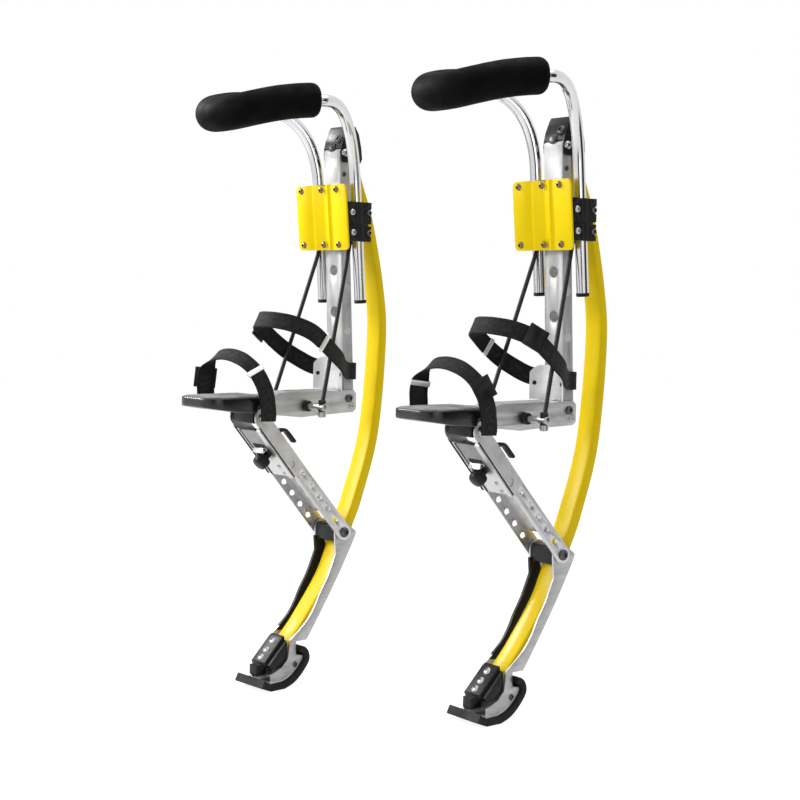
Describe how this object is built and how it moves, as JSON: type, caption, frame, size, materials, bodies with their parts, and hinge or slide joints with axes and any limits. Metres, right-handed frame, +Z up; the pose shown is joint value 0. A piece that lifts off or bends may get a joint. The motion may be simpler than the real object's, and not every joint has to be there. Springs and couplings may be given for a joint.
{
  "type": "pair of jumping stilts",
  "caption": "Pair of spring-driven jumping stilts with bowed leaf springs, strapped foot plates, hinged link arms, rubber-soled hooves and padded knee bars.",
  "frame": {"origin": "centre of the bounding box of the pair, at the ground under the soles", "axes": "+Z up from the ground, -Y the way the toes point, +X to the wearer's left"},
  "size_m": [0.5606, 0.5326, 0.9586],
  "materials": {
    "aluminium": "polished",
    "chrome": "bright plated tube",
    "yellow_paint": "gloss yellow",
    "yellow_fibreglass": "smooth yellow glass-fibre laminate",
    "black_plastic": "moulded black",
    "dark_rod": "blackened",
    "steel": "plated",
    "webbing": "woven black",
    "rubber": "matte",
    "foam": "closed-cell foam"
  },
  "bodies": {
    "frame": {"left_mast": "aluminium", "left_shin_plate": "yellow_paint", "left_tube_clamp_inner": "black_plastic", "left_tube_clamp_outer": "black_plastic", "left_stay_rod_inner": "dark_rod", "left_stay_rod_outer": "dark_rod", "left_cross_bar": "steel", "left_foot_arm": "aluminium", "left_heel_bolt": "steel", "left_heel_cup": "aluminium", "left_heel_strap": "webbing", "left_heel_buckle": "black_plastic", "left_foot_plate": "black_plastic", "left_pivot_block": "black_plastic", "left_toe_strap": "webbing", "left_toe_buckle": "black_plastic", "left_link_pivot_bolt": "steel", "right_mast": "aluminium", "right_shin_plate": "yellow_paint", "right_tube_clamp_inner": "black_plastic", "right_tube_clamp_outer": "black_plastic", "right_stay_rod_inner": "dark_rod", "right_stay_rod_outer": "dark_rod", "right_cross_bar": "steel", "right_foot_arm": "aluminium", "right_heel_bolt": "steel", "right_heel_cup": "aluminium", "right_heel_strap": "webbing", "right_heel_buckle": "black_plastic", "right_foot_plate": "black_plastic", "right_pivot_block": "black_plastic", "right_toe_strap": "webbing", "right_toe_buckle": "black_plastic", "right_link_pivot_bolt": "steel"},
    "left_link": {"left_link_upper": "aluminium", "left_link_lower": "aluminium", "left_knee_bolt": "steel"},
    "left_lock_knob": {"left_lock_knob": "black_plastic"},
    "left_spring": {"left_leaf_spring": "yellow_fibreglass", "left_top_bracket": "black_plastic", "left_top_hinge_bolt": "steel"},
    "left_hoof": {"left_hoof_frame": "aluminium", "left_knee_block": "black_plastic", "left_spring_clamp": "black_plastic", "left_sole": "rubber"},
    "left_knee_bar": {"left_knee_bar": "chrome", "left_knee_foam": "foam"},
    "right_link": {"right_link_upper": "aluminium", "right_link_lower": "aluminium", "right_knee_bolt": "steel"},
    "right_lock_knob": {"right_lock_knob": "black_plastic"},
    "right_spring": {"right_leaf_spring": "yellow_fibreglass", "right_top_bracket": "black_plastic", "right_top_hinge_bolt": "steel"},
    "right_hoof": {"right_hoof_frame": "aluminium", "right_knee_block": "black_plastic", "right_spring_clamp": "black_plastic", "right_sole": "rubber"},
    "right_knee_bar": {"right_knee_bar": "chrome", "right_knee_foam": "foam"}
  },
  "joints": [
    {"name": "left_link_swing", "type": "hinge", "parent": "frame", "child": "left_link", "pos_m": [0.1711, -0.002, 0.432], "axis": [1, 0, 0], "range_deg": [0, 20], "stiffness_Nm_per_rad": 700},
    {"name": "left_spring_swing", "type": "hinge", "parent": "frame", "child": "left_spring", "pos_m": [0.1711, 0.1645, 0.851], "axis": [1, 0, 0], "range_deg": [0, 20]},
    {"name": "left_spring_flex", "type": "hinge", "parent": "left_spring", "child": "left_hoof", "pos_m": [0.1711, 0.333, 0.657], "axis": [1, 0, 0], "range_deg": [-20, 0], "deforming": ["left_leaf_spring"]},
    {"name": "left_knee_bar_slide", "type": "slide", "parent": "frame", "child": "left_knee_bar", "axis": [0, -0.0758, 0.9971], "range_m": [-0.045, 0.05]},
    {"name": "left_lock_pull", "type": "slide", "parent": "left_link", "child": "left_lock_knob", "axis": [0, -0.755, -0.6557], "range_m": [0, 0.008], "stiffness_N_per_m": 600, "springref_m": -0.004},
    {"name": "right_link_swing", "type": "hinge", "parent": "frame", "child": "right_link", "pos_m": [-0.16816, -0.15475, 0.432], "axis": [0.9973, 0.0732, 0], "range_deg": [0, 20], "stiffness_Nm_per_rad": 700},
    {"name": "right_spring_swing", "type": "hinge", "parent": "frame", "child": "right_spring", "pos_m": [-0.18036, 0.0113, 0.851], "axis": [0.9973, 0.0732, 0], "range_deg": [0, 20]},
    {"name": "right_spring_flex", "type": "hinge", "parent": "right_spring", "child": "right_hoof", "pos_m": [-0.1927, 0.17935, 0.657], "axis": [0.9973, 0.0732, 0], "range_deg": [-20, 0], "deforming": ["right_leaf_spring"]},
    {"name": "right_knee_bar_slide", "type": "slide", "parent": "frame", "child": "right_knee_bar", "axis": [0.0056, -0.0756, 0.9971], "range_m": [-0.03, 0.065]},
    {"name": "right_lock_pull", "type": "slide", "parent": "right_link", "child": "right_lock_knob", "axis": [0.0553, -0.753, -0.6557], "range_m": [0, 0.008], "stiffness_N_per_m": 600, "springref_m": -0.004}
  ],
  "couplings": [
    {"joint": "left_spring_swing", "follows": "left_link_swing", "ratio": 1},
    {"joint": "left_spring_flex", "follows": "left_link_swing", "ratio": -1},
    {"joint": "right_spring_swing", "follows": "right_link_swing", "ratio": 1},
    {"joint": "right_spring_flex", "follows": "right_link_swing", "ratio": -1}
  ]
}
